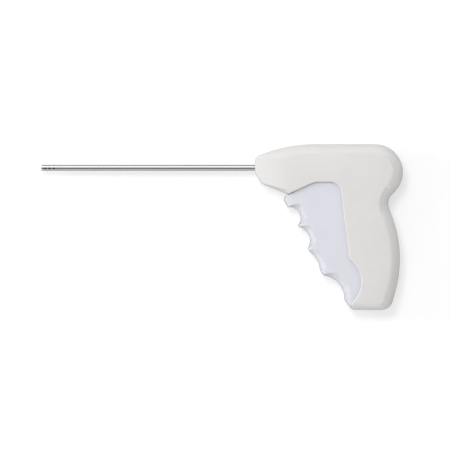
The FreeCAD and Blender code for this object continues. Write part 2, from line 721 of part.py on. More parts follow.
def sector_pin_cylinders(z_from, z_to):
    pins = []
    for angle in SECTOR_PIN_ANGLES:
        x, y = polar(PIVOT, SECTOR_PIN_REACH, 90 + angle)
        pins.append(along_z(SECTOR_PIN_RADIUS, x, y, z_from, z_to))
    return pins


def sector_pins():
    return Part.makeCompound(sector_pin_cylinders(-SECTOR_PIN_END, SECTOR_PIN_END))


def ratchet_wedges(z_from):
    """Saw teeth of the one-way coupling, rising in the direction that drives the tacks."""
    tools = []
    step = 2 * math.pi / RATCHET_TEETH
    low = z_from
    high = z_from + RATCHET_HEIGHT
    inner = AXLE_RADIUS + RUNNING_GAP
    for k in range(RATCHET_TEETH):
        a = k * step
        b = a + step
        corners = {}
        for name, radius in (("in", inner - 0.2), ("out", RATCHET_RADIUS + 0.8)):
            for side, angle in (("a", a), ("b", b)):
                for level, z in (("low", low - 0.3), ("base", low), ("high", high)):
                    corners[name + side + level] = v(
                        AXLE_X + radius * math.cos(angle), radius * math.sin(angle), z)
        c = corners
        loops = [
            ("inalow", "inblow", "inbhigh", "inabase"),
            ("outalow", "outblow", "outbhigh", "outabase"),
            ("inalow", "outalow", "outabase", "inabase"),
            ("inblow", "outblow", "outbhigh", "inbhigh"),
            ("inalow", "outalow", "outblow"), ("inalow", "outblow", "inblow"),
            ("inabase", "outabase", "outbhigh"), ("inabase", "outbhigh", "inbhigh"),
        ]
        tools.append(solid_of([[c[name] for name in loop] for loop in loops]))
    return tools


def solid_of(loops):
    """Closed solid from flat faces, each given by its corners."""
    faces = [Part.Face(Part.makePolygon(loop + [loop[0]])) for loop in loops]
    solid = Part.makeSolid(Part.makeShell(faces))
    if solid.Volume < 0:
        solid.reverse()
    return solid


def ratchet_ring(z_from, z_to):
    inner = AXLE_RADIUS + RUNNING_GAP
    return turned_on_axle([(inner, z_from), (RATCHET_RADIUS, z_from),
                           (RATCHET_RADIUS, z_to), (inner, z_to)])


def drive_pinion():
    """Pinion on the axle, with its half of the one-way coupling underneath."""
    radius = MODULE * PINION_TEETH / 2
    step = 360.0 / PINION_TEETH
    gap_heading = mesh_heading() + 180
    points = []
    for k in range(PINION_TEETH):
        heading = gap_heading - (k + 0.5) * step
        points.extend(tooth_points((AXLE_X, 0), heading, radius, MODULE, SPUR_BACKLASH))
    face = Part.Face(Part.makePolygon(points + [points[0]]))
    face.translate(v(0, 0, -PINION_HALF_WIDTH))
    body = face.extrude(v(0, 0, 2 * PINION_HALF_WIDTH))
    foot = -PINION_HALF_WIDTH - RATCHET_HEIGHT
    ring = ratchet_ring(foot, -PINION_HALF_WIDTH).cut(ratchet_wedges(foot))
    bore = along_z(AXLE_RADIUS + RUNNING_GAP, AXLE_X, 0, -10, 10)
    return one_solid(body.fuse(ring).cut(bore).removeSplitter())


def bevel_cone(teeth, other_teeth):
    """Pitch radius, pitch cone angle and cone distance of one wheel of the bevel pair."""
    pitch = BEVEL_MODULE * teeth / 2
    cone = math.atan2(teeth, other_teeth)
    return pitch, cone, pitch / math.sin(cone)


def bevel_point(cone, distance, radius, turn, frame):
    """Point of a bevel tooth: a radius of its unrolled back cone, turned about the axis."""
    apex, axis, first, second = frame
    across = radius * math.cos(cone)
    along = distance / math.cos(cone) - radius * math.sin(cone)
    around = first * (across * math.cos(turn)) + second * (across * math.sin(turn))
    return apex + around + axis * along


def bevel_teeth(teeth, other_teeth, frame, first_heading):
    """Straight teeth of one bevel wheel; every edge of theirs runs to the shared apex."""
    pitch, cone, distance = bevel_cone(teeth, other_teeth)
    unrolled = pitch / math.cos(cone)
    radii = tooth_radii(unrolled, BEVEL_MODULE, BEVEL_FLANK_STEPS)
    halves = half_tooth_angles(unrolled, radii, BEVEL_MODULE, BEVEL_BACKLASH)
    radii = [radii[0] - 0.3] + radii
    halves = [halves[0]] + halves
    shrink = (distance - BEVEL_FACE) / distance
    apex = frame[0]
    solids = []
    for k in range(teeth):
        turn = math.radians(first_heading + k * 360.0 / teeth)
        rings = []
        for side in (1, -1):
            big = []
            for radius, half in zip(radii, halves):
                offset = side * half / math.cos(cone)
                big.append(bevel_point(cone, distance, radius, turn + offset, frame))
            rings.append((big, [apex + (point - apex) * shrink for point in big]))
        (left_big, left_small), (right_big, right_small) = rings
        loops = []
        for i in range(len(radii) - 1):
            j = i + 1
            loops.append([left_big[i], left_big[j], left_small[j], left_small[i]])
            loops.append([right_big[i], right_big[j], right_small[j], right_small[i]])
            loops.append([left_big[i], right_big[i], right_big[j], left_big[j]])
            loops.append([left_small[i], right_small[i], right_small[j], left_small[j]])
        for end in (0, -1):
            loops.append([left_big[end], right_big[end], right_small[end], left_small[end]])
        solids.append(solid_of(loops))
    return solids


def bevel_root(teeth, other_teeth):
    """Radius and distance from the apex, along the axis, of both ends of the root cone."""
    pitch, cone, distance = bevel_cone(teeth, other_teeth)
    radius = pitch / math.cos(cone) - 1.25 * BEVEL_MODULE
    across = radius * math.cos(cone)
    along = distance / math.cos(cone) - radius * math.sin(cone)
    shrink = (distance - BEVEL_FACE) / distance
    return (across, along), (across * shrink, along * shrink)


def bevel_gear():
    """Large bevel wheel below the pinion, with the other half of the one-way coupling."""
    (big_radius, big_down), (small_radius, small_down) = bevel_root(BEVEL_TEETH, ROD_BEVEL_TEETH)
    bore = AXLE_RADIUS + RUNNING_GAP
    foot = -PINION_HALF_WIDTH - RATCHET_HEIGHT
    web = foot - 1.2
    rim = []
    for radius, z in ((small_radius - 0.4, web), (small_radius, -small_down),
                      (big_radius, -big_down), (big_radius, -BEVEL_BACK)):
        corners = []
        for k in range(BEVEL_TEETH + 1):
            corners.append(v(*polar((AXLE_X, 0), radius, (k + 0.5) * 360.0 / BEVEL_TEETH), z))
        rim.append(Part.makePolygon(corners))
    body = Part.makeLoft(rim, True, True)
    body = body.cut(along_z(bore, AXLE_X, 0, -BEVEL_BACK - 1, 0))
    body = body.fuse([
        turned_on_axle([(bore, foot), (RATCHET_RADIUS, foot), (RATCHET_RADIUS, web - 0.5),
                        (bore, web - 0.5)]),
        turned_on_axle([(bore, 0.5 - BEVEL_BACK), (GEAR_HUB_RADIUS, 0.5 - BEVEL_BACK),
                        (GEAR_HUB_RADIUS, -GEAR_STACK_END), (bore, -GEAR_STACK_END)])])
    frame = (v(AXLE_X, 0, 0), v(0, 0, -1), v(1, 0, 0), v(0, 1, 0))
    teeth = bevel_teeth(BEVEL_TEETH, ROD_BEVEL_TEETH, frame, 180 + 180.0 / BEVEL_TEETH)
    ring = ratchet_ring(foot, -PINION_HALF_WIDTH)
    saw = ring.common(ratchet_wedges(foot)[0].fuse(ratchet_wedges(foot)[1:]))
    return one_solid(body.fuse(teeth).fuse(saw).removeSplitter())


def rod_bevel():
    """Small bevel wheel on the rod's tail."""
    (big_radius, big_along), (small_radius, small_along) = bevel_root(ROD_BEVEL_TEETH, BEVEL_TEETH)
    hub_start = BUSHING_TO_X + ROD_WASHER_THICKNESS + 0.3
    body = turned_on_tube([
        (ROD_RADIUS, hub_start), (big_radius, hub_start),
        (big_radius, AXLE_X - big_along), (small_radius, AXLE_X - small_along),
        (ROD_RADIUS, AXLE_X - small_along)])
    frame = (v(AXLE_X, 0, 0), v(-1, 0, 0), v(0, 0, -1), v(0, 1, 0))
    teeth = bevel_teeth(ROD_BEVEL_TEETH, BEVEL_TEETH, frame, 0)
    bore = along_x(ROD_RADIUS, hub_start - 1, AXLE_X)
    return one_solid(body.fuse(teeth).cut(bore).removeSplitter())


def gear_axle():
    return along_z(AXLE_RADIUS, AXLE_X, 0, -PIN_END, PIN_END)


def axle_washers():
    washers = []
    for z_from in (-GEAR_STACK_END - AXLE_WASHER_THICKNESS, GEAR_STACK_END):
        z_to = z_from + AXLE_WASHER_THICKNESS
        washer = along_z(GEAR_HUB_RADIUS, AXLE_X, 0, z_from, z_to)
        washers.append(washer.cut(along_z(AXLE_RADIUS, AXLE_X, 0, z_from - 1, z_to + 1)))
    return Part.makeCompound(washers)


# Springs

def wire_along(points, radius):
    """Wire that follows a path, with a section of flat sides that doesn't twist."""
    count = len(points)
    rings = []
    across = None
    for i in range(count):
        run = points[min(i + 1, count - 1)] - points[max(i - 1, 0)]
        run.normalize()
        if across is None:
            across = v(0, 0, 1) if abs(run.z) < 0.9 else v(1, 0, 0)
        across = across - run * across.dot(run)
        across.normalize()
        side = run.cross(across)
        ring = []
        for k in range(WIRE_SIDES):
            angle = 2 * math.pi * k / WIRE_SIDES
            ring.append(points[i] + (across * math.cos(angle) + side * math.sin(angle)) * radius)
        rings.append(Part.makePolygon(ring + [ring[0]]))
    return Part.makeLoft(rings, True, True)


def coil_points(centre, radius, start, end, z_from, z_to, steps):
    """Points of a coil about Z between two headings in degrees."""
    points = []
    for k in range(steps + 1):
        share = k / steps
        x, y = polar(centre, radius, start + (end - start) * share)
        points.append(v(x, y, z_from + (z_to - z_from) * share))
    return points


def clutch_spring():
    """Spring that presses the pinion's saw teeth into the bevel wheel's."""
    bottom = PINION_HALF_WIDTH + CLUTCH_WIRE_RADIUS
    top = GEAR_STACK_END - CLUTCH_WIRE_RADIUS
    steps = CLUTCH_TURNS * COIL_STEPS_PER_TURN
    return wire_along(coil_points((AXLE_X, 0), CLUTCH_COIL_RADIUS, 0, 360 * CLUTCH_TURNS,
                                  bottom, top, steps), CLUTCH_WIRE_RADIUS)


def return_spring():
    """Torsion spring round the pivot pin, one leg on a post, the other inside the trigger."""
    fixed_heading = heading_of(POSTS[2], PIVOT) - 1.2
    start_heading = fixed_heading + 90
    end_heading = MOVING_LEG_HEADING - 90 + 360 * RETURN_TURNS
    steps = round((end_heading - start_heading) / 360 * COIL_STEPS_PER_TURN)
    points = coil_points(PIVOT, RETURN_COIL_RADIUS, start_heading, end_heading,
                         RETURN_COIL_HALF, -RETURN_COIL_HALF, steps)
    fixed_run = v(*polar((0, 0), FIXED_LEG_LENGTH, fixed_heading))
    moving_run = v(*polar((0, 0), MOVING_LEG_LENGTH, MOVING_LEG_HEADING))
    points = [points[0] + fixed_run] + points + [points[-1] + moving_run]
    return wire_along(points, RETURN_WIRE_RADIUS)


def pivot_pin():
    return along_z(PIVOT_PIN_RADIUS, PIVOT[0], PIVOT[1], -PIN_END, PIN_END)


# Trigger

def trigger_corners():
    """Corners of the trigger's side outline before the finger grooves, clockwise."""
    rear = 90 + TRIGGER_REAR_ANGLE
    top_heading = polar((0, 0), 1, HORN_STRAIGHT_ANGLE)
    top_start = polar(PIVOT, TRIGGER_TOP_RADIUS, 90 + HORN_STRAIGHT_ANGLE)
    front = (HORN_LIP[0] - RIDGES[0][0], HORN_LIP[1] - RIDGES[0][1])
    horn = crossing(HORN_LIP, front, top_start, top_heading)
    top_arc = tangent_corner(PIVOT, TRIGGER_TOP_RADIUS, 90 + HORN_STRAIGHT_ANGLE, rear + 1)
    rear_top = polar(PIVOT, TRIGGER_TOP_RADIUS, rear)
    rear_mid = polar(PIVOT, 60.0, rear)
    return [
        (TRIGGER_TOE[0], TRIGGER_TOE[1], 1.5),
        (RIDGES[2][0], RIDGES[2][1], 60.0),
        (RIDGES[1][0], RIDGES[1][1], 60.0),
        (RIDGES[0][0], RIDGES[0][1], 60.0),
        (horn[0], horn[1], HORN_TIP_ROUND),
        top_arc,
        (rear_top[0], rear_top[1], 1.0),
        (rear_mid[0], rear_mid[1], 20.0),
        (PIVOT[0] + HUB_RADIUS, PIVOT[1] + 14.0, 6.0),
        (PIVOT[0] + HUB_RADIUS, PIVOT[1] - 1.5, 3.5),
        (PIVOT[0] + 2.0, TRIGGER_TOE[1] + 0.6, 2.0),
    ]


def trigger_half_blank():
    corners = trigger_corners()
    bands = [TRIGGER_BAND] * 4 + [TRIGGER_TOP_BAND] * 2 + [0.0] * 4 + [TRIGGER_FOOT_BAND]
    straight = TRIGGER_HALF_WIDTH - TRIGGER_BAND
    wires = []
    for inward, upward in band_profile(TRIGGER_BAND_ARC, BAND_STEPS):
        z = straight + TRIGGER_BAND * upward
        wires.append(rounded_wire(corners, z, [inward * band for band in bands]))
    base = prism(rounded_wire(corners, 0.0), straight)
    half = base.fuse(Part.makeLoft(wires, True, True))
    return half.common(box(0, 140, -130, 30, -1, TRIGGER_HALF_WIDTH))


def finger_groove(k):
    """Ring-shaped cut that a finger lies in, deepest at the trigger's sides."""
    before = HORN_LIP if k == 0 else RIDGES[k - 1]
    after = RIDGES[k] if k < len(RIDGES) else TRIGGER_TOE
    run = v(after[0] - before[0], after[1] - before[1])
    run.normalize()
    inward = v(-run.y, run.x)
    x, y = GROOVE_CENTRES[k]
    heading = math.degrees(math.atan2(run.y, run.x))
    rim = []
    for side in range(GROOVE_SIDES + 1):
        angle = heading + (side + 0.5) * 360.0 / GROOVE_SIDES
        rim.append(v(*polar((x, y), GROOVE_RADII[k], angle)))
    face = Part.Face(Part.makePolygon(rim))
    ring_centre = v(x, y) + inward * (GROOVE_FLARE_RADIUS + GROOVE_RADII[k])
    face.rotate(ring_centre, run, -50)
    return face.revolve(ring_centre, run, 100)


def trigger_hollow():
    half = TRIGGER_INNER_HALF
    points = [(36.5, 0), (36.5, -23.5), (48.5, -46.5), (56, -66.5), (64, -84.5), (79.5, -96.5),
              (83.5, -104), (83.5, -115.4), (110, -115.4), (110, 0)]
    face = Part.Face(Part.makePolygon([v(x, y, -half) for x, y in points + [points[0]]]))
    hollow = face.extrude(v(0, 0, 2 * half))
    notch = along_z(TRIGGER_TOP_RADIUS + 5, PIVOT[0], PIVOT[1], -half, half)
    roof = SECTOR_RADIUS - TRIGGER_ROOF_BELOW_TEETH
    notch = notch.cut(along_z(roof, PIVOT[0], PIVOT[1], -half - 1, half + 1))
    return hollow.fuse(notch.common(box(28.5, 60, -40, 5, -half, half)))


def trigger():
    half = trigger_half_blank()
    body = half.fuse(half.mirror(v(0, 0, 0), Z)).removeSplitter()
    for k in range(len(GROOVE_RADII)):
        body = one_solid(body.cut(finger_groove(k)))
    body = body.cut(trigger_hollow())
    bosses = []
    for side in (-1, 1):
        inner, outer = sorted((side * HUB_INNER_HALF, side * (TRIGGER_INNER_HALF + 0.5)))
        bosses.append(along_z(HUB_RADIUS, PIVOT[0], PIVOT[1], inner, outer))
        inner, outer = sorted((side * SECTOR_HALF_WIDTH, side * (TRIGGER_INNER_HALF + 0.5)))
        for angle in SECTOR_PIN_ANGLES:
            x, y = polar(PIVOT, SECTOR_PIN_REACH, 90 + angle)
            bosses.append(many_sided(3.2, POST_SIDES, v(x, y, inner), Z * (outer - inner), X))
    body = body.fuse(bosses)
    bore = along_z(PIVOT_PIN_RADIUS + RUNNING_GAP, PIVOT[0], PIVOT[1], -20, 20)
    holes = [bore] + sector_pin_cylinders(-SECTOR_PIN_END, SECTOR_PIN_END)
    return one_solid(body.cut(holes).removeSplitter())


def main():
    os.makedirs("parts", exist_ok=True)
    left, right = both_shells()
    parts = {
        "left_shell": left,
        "right_shell": right,
        "outer_tube": outer_tube(),
        "guide_liner": guide_liner(),
        "tube_collar": tube_collar(),
        "rod_seal": rod_seal(),
        "rear_bushing": rear_bushing(),
        "rod_washer": rod_washer(),
        "drive_rod": drive_rod(),
        "rod_bevel": rod_bevel(),
        "tack_train": tack_train(),
        "gear_axle": gear_axle(),
        "axle_washers": axle_washers(),
        "drive_pinion": drive_pinion(),
        "bevel_gear": bevel_gear(),
        "clutch_spring": clutch_spring(),
        "pivot_pin": pivot_pin(),
        "return_spring": return_spring(),
        "trigger": trigger(),
        "sector_gear": sector_gear(),
        "sector_pins": sector_pins(),
    }
    for name, shape in parts.items():
        shape.exportStep("parts/" + name + ".step")


main()
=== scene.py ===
"""Hernia tacker lying on its right side on a white table, seen straight from above."""

import math

import bmesh
import bpy
import numpy as np
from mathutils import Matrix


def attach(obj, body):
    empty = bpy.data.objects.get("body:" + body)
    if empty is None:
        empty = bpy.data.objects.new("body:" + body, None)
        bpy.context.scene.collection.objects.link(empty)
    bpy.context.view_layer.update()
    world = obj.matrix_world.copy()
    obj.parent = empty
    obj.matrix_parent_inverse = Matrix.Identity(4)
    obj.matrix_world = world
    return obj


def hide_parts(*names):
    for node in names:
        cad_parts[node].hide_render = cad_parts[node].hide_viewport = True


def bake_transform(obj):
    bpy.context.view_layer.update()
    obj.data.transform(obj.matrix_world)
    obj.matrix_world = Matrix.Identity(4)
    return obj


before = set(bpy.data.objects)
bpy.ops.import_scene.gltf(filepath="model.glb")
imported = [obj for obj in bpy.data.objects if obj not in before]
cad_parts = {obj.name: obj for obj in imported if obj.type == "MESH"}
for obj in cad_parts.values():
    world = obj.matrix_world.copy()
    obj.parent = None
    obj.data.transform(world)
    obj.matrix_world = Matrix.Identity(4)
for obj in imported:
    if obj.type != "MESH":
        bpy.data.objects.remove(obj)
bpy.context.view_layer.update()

MM = 0.001


# Camera, first of all, so that the photograph's framing is fixed

PHOTO_SIZE = 450.0
MM_PER_PIXEL = 0.85
NOSE_PIXEL = (255.0, 167.8)
SENSOR_WIDTH = 36.0
CAMERA_HEIGHT = 1900.0
CAMERA_X = (PHOTO_SIZE / 2 - NOSE_PIXEL[0]) * MM_PER_PIXEL
CAMERA_Y = (NOSE_PIXEL[1] - PHOTO_SIZE / 2) * MM_PER_PIXEL


def add_camera():
    """Camera straight above, with a lens that gives the photograph's scale at the tube's height."""
    data = bpy.data.cameras.new("camera")
    data.sensor_width = SENSOR_WIDTH
    data.lens = SENSOR_WIDTH * CAMERA_HEIGHT / (PHOTO_SIZE * MM_PER_PIXEL)
    data.clip_end = 20.0
    camera = bpy.data.objects.new("camera", data)
    camera.location = (CAMERA_X * MM, CAMERA_Y * MM, CAMERA_HEIGHT * MM)
    bpy.context.scene.collection.objects.link(camera)
    bpy.context.scene.camera = camera
    bpy.context.scene.view_settings.view_transform = "Standard"


add_camera()


# Helpers for node trees

def node_adder(tree):
    """A function that adds a node to the tree and sets its sockets and options by name."""
    def add(kind, **values):
        node = tree.nodes.new(kind)
        for key, value in values.items():
            socket = node.inputs.get(key.replace("_", " "))
            if socket is None:
                setattr(node, key, value)
            else:
                socket.default_value = value
        return node

    return add


def join(tree, *links):
    """Links in a node tree, each given as a node, its output, the next node and its input."""
    for source, output, target, socket in links:
        tree.links.new(source.outputs[output], target.inputs[socket])


def grey(tone):
    """Opaque colour of one tone in all its channels."""
    return (tone, tone, tone, 1.0)


def new_material(name):
    """An empty node material: the material, its tree, its output node and its adder."""
    material = bpy.data.materials.new(name)
    material.use_nodes = True
    tree = material.node_tree
    tree.nodes.clear()
    add = node_adder(tree)
    return material, tree, add("ShaderNodeOutputMaterial"), add


# Materials. A noise's scale is its number of cells to the metre

GRAIN_HEIGHT = 0.05 * MM
FLOW_SCALE = 70.0
FLOW_TONE_SHARE = 0.03
FLOW_ROUGHNESS_SHARE = 0.3
SUBSURFACE_DEPTH = 1.5 * MM
STREAK_SCALE = 900.0
STREAK_TONE_SHARE = 0.08
STREAK_ROUGHNESS_SHARE = 0.22
DRAWN_ALONG_X = (0.05, 1.0, 1.0)
EVEN_ALL_WAYS = (1.0, 1.0, 1.0)


def surface_noise(tree, add, scale, detail, stretch=EVEN_ALL_WAYS):
    """Noise in the object's own coordinates, each of them times its stretch first."""
    place = add("ShaderNodeTexCoord")
    mapping = add("ShaderNodeMapping", Scale=stretch)
    noise = add("ShaderNodeTexNoise", Scale=scale, Detail=detail, Roughness=0.6)
    join(tree,
         (place, "Object", mapping, "Vector"),
         (mapping, "Vector", noise, "Vector"))
    return noise


def make_uneven(tree, add, noise, shader, colour, colour_share, roughness, roughness_share):
    """Noise drives colour and roughness, from a share of each below its value to as much above."""
    ramp = add("ShaderNodeValToRGB")
    for element, factor in zip(ramp.color_ramp.elements, (1.0 - colour_share, 1.0 + colour_share)):
        element.color = tuple(value * factor for value in colour) + (1.0,)
    spread = add("ShaderNodeMapRange", To_Min=roughness * (1.0 - roughness_share),
                 To_Max=roughness * (1.0 + roughness_share))
    join(tree,
         (noise, "Fac", ramp, "Fac"),
         (noise, "Fac", spread, "Value"),
         (ramp, "Color", shader, "Base Color"),
         (spread, "Result", shader, "Roughness"))


def plastic(name, colour, roughness, grain_scale, grain_strength, coat=0.0, coat_roughness=0.06,
            subsurface=0.0):
    """Moulded plastic: fine grain in relief, and faint, broad flow marks in tone and roughness."""
    material, tree, output, add = new_material(name)
    shader = add("ShaderNodeBsdfPrincipled", Coat_Weight=coat, Coat_Roughness=coat_roughness,
                 Subsurface_Weight=subsurface, Subsurface_Radius=EVEN_ALL_WAYS,
                 Subsurface_Scale=SUBSURFACE_DEPTH)
    flow = surface_noise(tree, add, FLOW_SCALE, detail=4.0)
    make_uneven(tree, add, flow, shader, colour, FLOW_TONE_SHARE, roughness, FLOW_ROUGHNESS_SHARE)
    grain = surface_noise(tree, add, grain_scale, detail=3.0)
    bump = add("ShaderNodeBump", Strength=grain_strength, Distance=GRAIN_HEIGHT)
    join(tree,
         (grain, "Fac", bump, "Height"),
         (bump, "Normal", shader, "Normal"),
         (shader, "BSDF", output, "Surface"))
    return material


def steel(name, colour, roughness, stretch):
    """Drawn steel: streaks in its tone and roughness, long where the stretch is small."""
    material, tree, output, add = new_material(name)
    shader = add("ShaderNodeBsdfPrincipled", Metallic=1.0)
    streaks = surface_noise(tree, add, STREAK_SCALE, detail=4.0, stretch=stretch)
    make_uneven(tree, add, streaks, shader, colour, STREAK_TONE_SHARE, roughness,
                STREAK_ROUGHNESS_SHARE)
    join(tree, (shader, "BSDF", output, "Surface"))
    return material


handle_plastic = plastic("handle plastic", (0.748, 0.732, 0.721), 0.42, 2600.0, 0.12,
                         coat=0.5, coat_roughness=0.2, subsurface=0.12)
trigger_plastic = plastic("trigger plastic", (0.735, 0.74, 0.80), 0.16, 500.0, 0.02,
                          coat=0.6, subsurface=0.3)
tube_steel = steel("tube steel", (0.66, 0.655, 0.65), 0.2, DRAWN_ALONG_X)
inner_steel = steel("inner steel", (0.55, 0.55, 0.56), 0.25, EVEN_ALL_WAYS)
hub_plastic = plastic("hub plastic", (0.68, 0.68, 0.66), 0.5, 2000.0, 0.1)
gear_plastic = plastic("gear plastic", (0.78, 0.76, 0.68), 0.4, 2000.0, 0.08)
seal_rubber = plastic("seal rubber", (0.02, 0.02, 0.02), 0.6, 1500.0, 0.1)
tack_polymer = plastic("tack polymer", (0.075, 0.03, 0.14), 0.3, 900.0, 0.05, coat=0.3)

FINISHES = {
    "left_shell": handle_plastic,
    "right_shell": handle_plastic,
    "trigger": trigger_plastic,
    "outer_tube": tube_steel,
    "guide_liner": inner_steel,
    "drive_rod": inner_steel,
    "gear_axle": inner_steel,
    "axle_washers": inner_steel,
    "clutch_spring": inner_steel,
    "pivot_pin": inner_steel,
    "return_spring": inner_steel,
    "sector_pins": inner_steel,
    "tube_collar": hub_plastic,
    "rear_bushing": hub_plastic,
    "rod_washer": hub_plastic,
    "rod_bevel": gear_plastic,
    "drive_pinion": gear_plastic,
    "bevel_gear": gear_plastic,
    "sector_gear": gear_plastic,
    "rod_seal": seal_rubber,
    "tack_train": tack_polymer,
}

for node_name, finish in FINISHES.items():
    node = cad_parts[node_name]
    node.data.materials.clear()
    node.data.materials.append(finish)


def add_piece(name, mesh, node_name, body=None):
    """A piece of the scene's own in place of a node, attached to its body when one is named."""
    piece = bpy.data.objects.new(name, mesh)
    bpy.context.scene.collection.objects.link(piece)
    if body:
        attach(piece, body)
    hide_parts(node_name)
    return piece


# Moulded pieces and the tube, with their surfaces joined and shaded smooth

JOIN_DISTANCE = 0.002
SHELL_CREASE = 50.0
TRIGGER_CREASE = 32.0
TUBE_CREASE = 35.0


def joined_copy(node_name, piece_name, body, crease_degrees):
    """The node's own faces joined where they meet, smooth over every edge flatter than a crease."""
    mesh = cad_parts[node_name].data.copy()
    mesh.name = piece_name
    if "custom_normal" in mesh.attributes:
        mesh.attributes.remove(mesh.attributes["custom_normal"])
    joined = bmesh.new()
    joined.from_mesh(mesh)
    bmesh.ops.remove_doubles(joined, verts=joined.verts, dist=JOIN_DISTANCE * MM)
    limit = math.radians(crease_degrees)
    for face in joined.faces:
        face.smooth = True
    for edge in joined.edges:
        edge.smooth = edge.calc_face_angle(0.0) < limit
    joined.to_mesh(mesh)
    joined.free()
    piece = add_piece(piece_name, mesh, node_name, body)
    weighted = piece.modifiers.new("even shading", "WEIGHTED_NORMAL")
    weighted.mode = "FACE_AREA"
    weighted.weight = 60
    weighted.keep_sharp = True


joined_copy("left_shell", "left_shell_moulding", "housing", SHELL_CREASE)
joined_copy("right_shell", "right_shell_moulding", "housing", SHELL_CREASE)
joined_copy("trigger", "trigger_moulding", "trigger_body", TRIGGER_CREASE)
joined_copy("outer_tube", "tube_drawn", "housing", TUBE_CREASE)


# Surfaces worked out as grids of points

SAME_POINT = 0.001


def grid_faces(rows, columns):
    """Quads between the neighbours of a grid whose columns close into a ring."""
    here = np.arange(rows * columns).reshape(rows, columns)
    beside = np.roll(here, -1, axis=1)
    return np.stack([here[:-1], beside[:-1], beside[1:], here[1:]], axis=-1).reshape(-1, 4)


def closed_mesh(name, points, faces, finish):
    """Mesh of points in millimetres whose faces point outwards, with its quads shaded smooth."""
    mesh = bpy.data.meshes.new(name)
    mesh.from_pydata((points.reshape(-1, 3) * MM).tolist(), [], faces)
    whole = bmesh.new()
    whole.from_mesh(mesh)
    bmesh.ops.remove_doubles(whole, verts=whole.verts, dist=SAME_POINT * MM)
    bmesh.ops.recalc_face_normals(whole, faces=whole.faces)
    for face in whole.faces:
        face.smooth = len(face.verts) == 4
    whole.to_mesh(mesh)
    whole.free()
    mesh.materials.append(finish)
    return mesh


# Springs, whose wire is round where the construction gives it flat sides

WIRE_SIDES = 14
COIL_STEP_DEGREES = 8.0
LEG_STEPS = 8
PIVOT = np.array([90.5, -110.2])
SPRING_POST = np.array([109.0, -90.0])
RETURN_WIRE_RADIUS = 0.6
RETURN_COIL_RADIUS = 4.2
RETURN_COIL_HALF = 3.6
RETURN_TURNS = 5
FIXED_LEG_LENGTH = 29.0
FIXED_LEG_BESIDE_POST = 1.2
MOVING_LEG_LENGTH = 22.0
MOVING_LEG_HEADING = 140.0
AXLE_X = 77.1974
CLUTCH_WIRE_RADIUS = 0.35
CLUTCH_COIL_RADIUS = 2.5
CLUTCH_TURNS = 5
CLUTCH_FROM_Z = 2.95
CLUTCH_TO_Z = 10.65


def round_wire(name, path, radius):
    """Wire along a path: each point plus radius (cos a, sin a) in the plane across the path.

    The plane's first direction is level, and its second is square to that and the path.
    """
    run = np.gradient(path, axis=0)
    run /= np.linalg.norm(run, axis=1, keepdims=True)
    level = np.cross(run, [0.0, 0.0, 1.0])
    level /= np.linalg.norm(level, axis=1, keepdims=True)
    upright = np.cross(level, run)
    angle = np.linspace(0.0, 2 * math.pi, WIRE_SIDES, endpoint=False)
    ring = (level[:, None, :] * np.cos(angle)[None, :, None]
            + upright[:, None, :] * np.sin(angle)[None, :, None])
    rows = len(path)
    start_cap = np.arange(WIRE_SIDES)[::-1]
    end_cap = np.arange(WIRE_SIDES) + (rows - 1) * WIRE_SIDES
    faces = grid_faces(rows, WIRE_SIDES).tolist() + [start_cap.tolist(), end_cap.tolist()]
    return closed_mesh(name, path[:, None, :] + radius * ring, faces, inner_steel)


def coil_path(centre, radius, start, end, z_from, z_to):
    """Helix about an upright line: heading and height both rise evenly along it."""
    share = np.linspace(0.0, 1.0, int((end - start) / COIL_STEP_DEGREES) + 1)
    heading = np.radians(start + (end - start) * share)
    return np.stack([centre[0] + radius * np.cos(heading),
                     centre[1] + radius * np.sin(heading),
                     z_from + (z_to - z_from) * share], axis=-1)


def leg(root, heading, length):
    """Points of a straight leg from the coil's end, evenly spaced along a heading."""
    way = np.array([math.cos(math.radians(heading)), math.sin(math.radians(heading)), 0.0])
    share = np.linspace(0.0, 1.0, LEG_STEPS + 1)[1:, None]
    return root + way * length * share


def return_spring():
    """Five turns round the pivot pin between two straight legs that leave the coil on its tangents."""
    post = SPRING_POST - PIVOT
    fixed_heading = math.degrees(math.atan2(post[1], post[0])) - FIXED_LEG_BESIDE_POST
    coil = coil_path(PIVOT, RETURN_COIL_RADIUS, fixed_heading + 90.0,
                     MOVING_LEG_HEADING - 90.0 + 360.0 * RETURN_TURNS,
                     RETURN_COIL_HALF, -RETURN_COIL_HALF)
    fixed_leg = leg(coil[0], fixed_heading, FIXED_LEG_LENGTH)
    moving_leg = leg(coil[-1], MOVING_LEG_HEADING, MOVING_LEG_LENGTH)
    path = np.concatenate([fixed_leg[::-1], coil, moving_leg])
    mesh = round_wire("return_spring_wire", path, RETURN_WIRE_RADIUS)
    piece = add_piece("return_spring_wire", mesh, "return_spring")
    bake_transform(piece)


def clutch_spring():
    """Plain coil on the wheels' axle, from the pinion's top to the end of the stack."""
    path = coil_path((AXLE_X, 0.0), CLUTCH_COIL_RADIUS, 0.0, 360.0 * CLUTCH_TURNS,
                     CLUTCH_FROM_Z, CLUTCH_TO_Z)
    mesh = round_wire("clutch_spring_wire", path, CLUTCH_WIRE_RADIUS)
    add_piece("clutch_spring_wire", mesh, "clutch_spring", "gear_train")


return_spring()
clutch_spring()


# Tacks, which are threaded where the construction gives them plain sides

TACK_COUNT = 15
TACK_PITCH = 6.5
TACK_LENGTH = 6.1
FIRST_TACK_X = -180.0
TACK_CORE_RADIUS = 1.2
TACK_BORE_RADIUS = 1.06
TACK_NOSE_LENGTH = 1.4
TACK_NOSE_TAPER = 0.16
THREAD_LEAD = 1.22
THREAD_HEIGHT = 0.2
THREAD_HALF_WIDTH = 0.3
TACK_ROWS = 61
TACK_COLUMNS = 28


